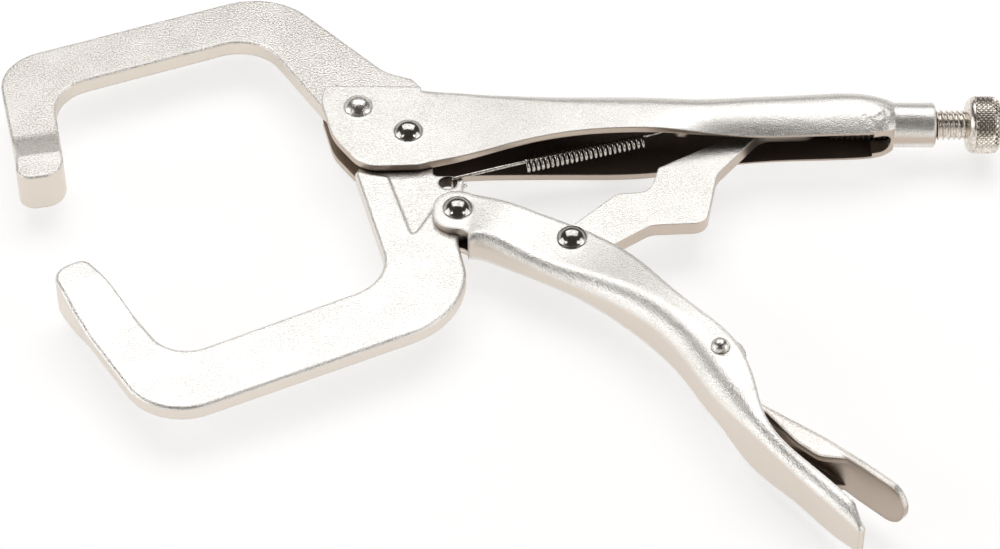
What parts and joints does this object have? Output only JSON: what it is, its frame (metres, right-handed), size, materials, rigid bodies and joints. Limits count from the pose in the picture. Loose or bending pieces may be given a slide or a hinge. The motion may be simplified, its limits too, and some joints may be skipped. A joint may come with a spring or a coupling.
{
  "type": "welding locking pliers",
  "caption": "C-clamp locking pliers for holding work while it is welded, nickel-plated steel, open, with adjusting screw and release lever.",
  "frame": {"origin": "the place on the fixed jaw's clamping flat that the moving jaw meets, on the mid-plane of the tool", "axes": "+X along the fixed handle towards the adjusting screw, +Y in the plane the jaws swing in, away from the lower handle, +Z along the rivets"},
  "size_m": [0.2813, 0.2047, 0.023],
  "materials": {
    "jaw_steel": "satin nickel plate over forged steel",
    "handle_steel": "satin nickel plate over pressed sheet",
    "lever_steel": "satin nickel plate over pressed sheet",
    "link_steel": "satin nickel plate",
    "screw_steel": "bright nickel plate, knurled head",
    "spring_wire": "bright plated spring wire",
    "rivet_steel": "polished, dark reflections"
  },
  "bodies": {
    "frame": {"fixed_handle": "handle_steel", "fixed_jaw": "jaw_steel", "fixed_jaw_rivet": "rivet_steel", "jaw_pivot_rivet": "rivet_steel", "tension_spring": "spring_wire"},
    "jaw": {"moving_jaw": "jaw_steel", "handle_pivot_rivet": "rivet_steel"},
    "handle": {"lower_handle": "handle_steel", "link_rivet": "rivet_steel", "release_lever_rivet": "rivet_steel"},
    "link": {"toggle_link": "link_steel"},
    "lever": {"release_lever": "lever_steel"},
    "screw": {"adjusting_screw": "screw_steel"}
  },
  "joints": [
    {"name": "jaw_hinge", "type": "hinge", "parent": "frame", "child": "jaw", "pos_m": [0.1012, 0.02022, 0], "axis": [0, 0, 1], "range_deg": [-19.5, 0], "deforming": ["tension_spring"]},
    {"name": "handle_hinge", "type": "hinge", "parent": "jaw", "child": "handle", "pos_m": [0.1152, -0.01068, 0], "axis": [0, 0, 1], "range_deg": [0, 57.9]},
    {"name": "link_hinge", "type": "hinge", "parent": "handle", "child": "link", "pos_m": [0.1461, -0.02208, 0], "axis": [0, 0, 1], "range_deg": [-53.5, 0]},
    {"name": "lever_hinge", "type": "hinge", "parent": "handle", "child": "lever", "pos_m": [0.1837, -0.06718, 0], "axis": [0, 0, 1], "range_deg": [-5, 0]},
    {"name": "screw_slide", "type": "slide", "parent": "frame", "child": "screw", "axis": [1, 0, 0], "range_m": [0, 0.014]}
  ],
  "couplings": [
    {"joint": "handle_hinge", "follows": "jaw_hinge", "ratio": -2.965},
    {"joint": "link_hinge", "follows": "jaw_hinge", "ratio": 2.738}
  ]
}
